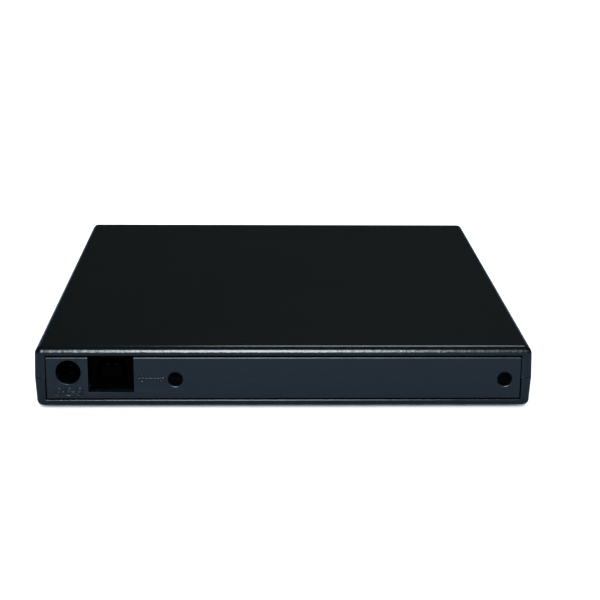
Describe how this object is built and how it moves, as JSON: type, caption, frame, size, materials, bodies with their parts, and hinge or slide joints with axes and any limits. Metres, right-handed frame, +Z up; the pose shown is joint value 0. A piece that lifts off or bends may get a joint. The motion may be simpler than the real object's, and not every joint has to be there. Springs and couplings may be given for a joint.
{
  "type": "external optical drive",
  "caption": "Slim black box with a tray that slides out at the front on telescopic rails, and a rear panel with a power inlet and a data socket.",
  "frame": {"origin": "under the middle of the case, on the plane that the feet stand on", "axes": "+Z up, -Y the way the tray opens, +Y towards the rear panel, +X to the right as seen from the front"},
  "size_m": [0.14, 0.146, 0.0184],
  "materials": {
    "shell": "fine moulded grain",
    "panel": "fine moulded grain",
    "bezel": "fine moulded grain",
    "rubber": "soft matt",
    "black_screw": "black oxide",
    "zinc_screw": "zinc plated",
    "board": "solder mask",
    "chip": "moulded epoxy",
    "can": "bright can",
    "connector": "moulded insulator",
    "dark_metal": "black plated",
    "contact": "gold plated",
    "pin_metal": "nickel plated",
    "sheet_steel": "galvanised sheet",
    "nylon": "natural moulding",
    "cable": "laminated film",
    "tray_plastic": "fine moulded grain",
    "lamp": "clear moulding",
    "copper": "enamelled wire",
    "bright_metal": "ground and polished",
    "cast": "die-cast",
    "black_part": "moulded",
    "optic": "polished lens"
  },
  "bodies": {
    "case": {"top_cover": "shell", "bottom_cover": "shell", "rear_panel": "panel", "rear_panel_screws": "black_screw", "case_screws": "zinc_screw", "foot_front_left": "rubber", "foot_front_right": "rubber", "foot_rear_left": "rubber", "foot_rear_right": "rubber", "bridge_board": "board", "board_screws": "zinc_screw", "bridge_chip": "chip", "board_crystal": "can", "board_capacitors": "can", "voltage_regulator": "chip", "host_connector": "connector", "usb_shell": "dark_metal", "usb_core": "connector", "usb_contacts": "contact", "dc_jack_body": "connector", "dc_jack_pin": "pin_metal", "dc_jack_spring": "pin_metal", "drive_screws": "zinc_screw", "drive_chassis": "sheet_steel", "drive_cover": "sheet_steel", "drive_cover_screws": "zinc_screw", "guide_left": "nylon", "guide_right": "nylon", "drive_board": "board", "drive_chip": "chip", "drive_connector": "connector", "flex_cable_fixed": "cable"},
    "rail_left": {"rail_left": "sheet_steel"},
    "rail_right": {"rail_right": "sheet_steel"},
    "tray": {"tray": "tray_plastic", "tray_bezel": "bezel", "led_window": "lamp", "tray_board": "board", "eject_switch": "chip", "flex_cable_moving": "cable", "traverse_deck": "sheet_steel", "deck_dampers": "rubber", "deck_screws": "zinc_screw", "deck_cover": "tray_plastic", "spindle_stator": "copper", "guide_rods": "bright_metal", "sled_motor": "bright_metal", "latch_solenoid": "copper", "ejector_spring": "bright_metal"},
    "button": {"eject_button": "bezel"},
    "turntable": {"spindle_rotor": "bright_metal", "turntable_ring": "rubber", "hub_pawls": "nylon"},
    "lead_screw": {"lead_screw": "bright_metal"},
    "pickup": {"pickup_sled": "cast", "sled_follower": "nylon"},
    "lens": {"lens_holder": "black_part", "objective_lens": "optic"},
    "latch": {"latch_lever": "nylon"},
    "ejector": {"ejector_plunger": "nylon"}
  },
  "joints": [
    {"name": "tray_slide", "type": "slide", "parent": "case", "child": "tray", "axis": [0, -1, 0], "range_m": [0, 0.124]},
    {"name": "rail_left_slide", "type": "slide", "parent": "case", "child": "rail_left", "axis": [0, -1, 0], "range_m": [0, 0.0621]},
    {"name": "rail_right_slide", "type": "slide", "parent": "case", "child": "rail_right", "axis": [0, -1, 0], "range_m": [0, 0.0621]},
    {"name": "turntable_spin", "type": "hinge", "parent": "tray", "child": "turntable", "pos_m": [0, -0.006, 0.009], "axis": [0, 0, 1], "continuous": true},
    {"name": "pickup_slide", "type": "slide", "parent": "tray", "child": "pickup", "axis": [-0.7071, -0.7071, 0], "range_m": [0, 0.035]},
    {"name": "lead_screw_spin", "type": "hinge", "parent": "tray", "child": "lead_screw", "pos_m": [-0.01655, -0.04602, 0.0078], "axis": [-0.7071, -0.7071, 0], "range_deg": [0, 4205]},
    {"name": "lens_focus", "type": "slide", "parent": "pickup", "child": "lens", "axis": [0, 0, 1], "range_m": [-0.0004, 0.0004], "stiffness_N_per_m": 40},
    {"name": "button_press", "type": "slide", "parent": "tray", "child": "button", "axis": [0, 1, 0], "range_m": [0, 0.0006], "stiffness_N_per_m": 400},
    {"name": "latch_swing", "type": "hinge", "parent": "tray", "child": "latch", "pos_m": [0.05, -0.045, 0.0058], "axis": [0, 0, -1], "range_deg": [0, 15], "stiffness_Nm_per_rad": 0.002},
    {"name": "ejector_slide", "type": "slide", "parent": "tray", "child": "ejector", "axis": [0, 1, 0], "range_m": [0, 0.01]}
  ],
  "couplings": [
    {"joint": "rail_left_slide", "follows": "tray_slide", "ratio": 0.5},
    {"joint": "rail_right_slide", "follows": "tray_slide", "ratio": 0.5},
    {"joint": "ejector_slide", "follows": "tray_slide", "ratio": 0.08},
    {"joint": "lead_screw_spin", "follows": "pickup_slide", "rad_per_m": 2094.4}
  ]
}
